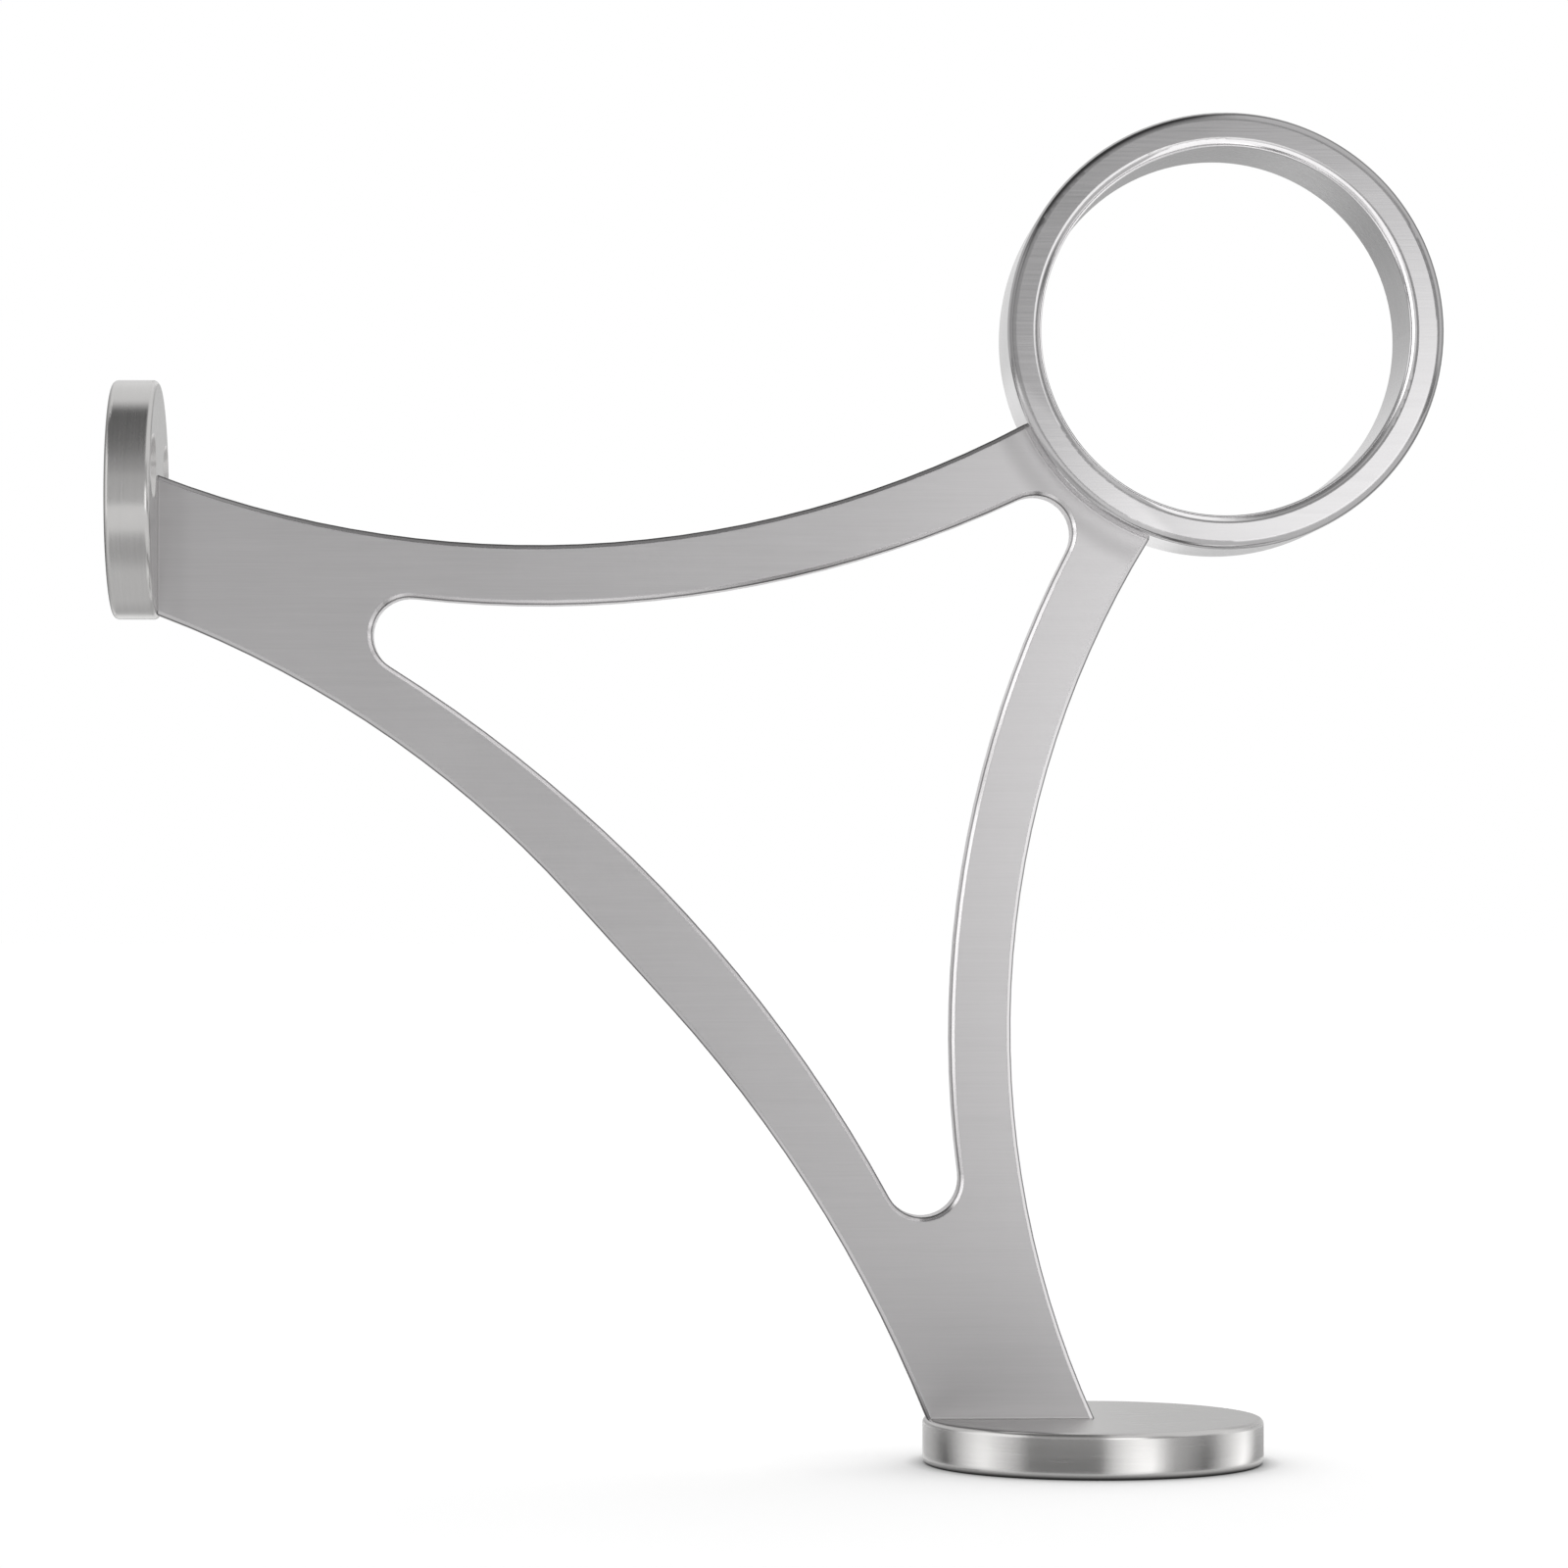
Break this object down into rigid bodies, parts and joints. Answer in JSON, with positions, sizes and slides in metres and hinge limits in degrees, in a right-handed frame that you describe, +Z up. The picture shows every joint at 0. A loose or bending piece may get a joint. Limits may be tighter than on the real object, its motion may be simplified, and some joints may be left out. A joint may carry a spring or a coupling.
{
  "type": "handrail bracket",
  "caption": "Brushed steel rail bracket: a ring for a round tube, carried by an open curved triangular web between a screwed wall flange and a floor flange.",
  "frame": {"origin": "centre of the wall flange's back face, where it meets the wall", "axes": "+X from the wall towards the rail, +Z up, +Y along the rail; the web lies in the XZ plane"},
  "size_m": [0.1848, 0.0476, 0.1878],
  "materials": {
    "web_steel": "brushed along the length",
    "ring_steel": "brushed face, turned rim",
    "flange_steel": "fine turned rim"
  },
  "bodies": {
    "root": {"web_plate": "web_steel", "rail_ring": "ring_steel", "wall_flange": "flange_steel", "floor_flange": "flange_steel"}
  },
  "joints": []
}
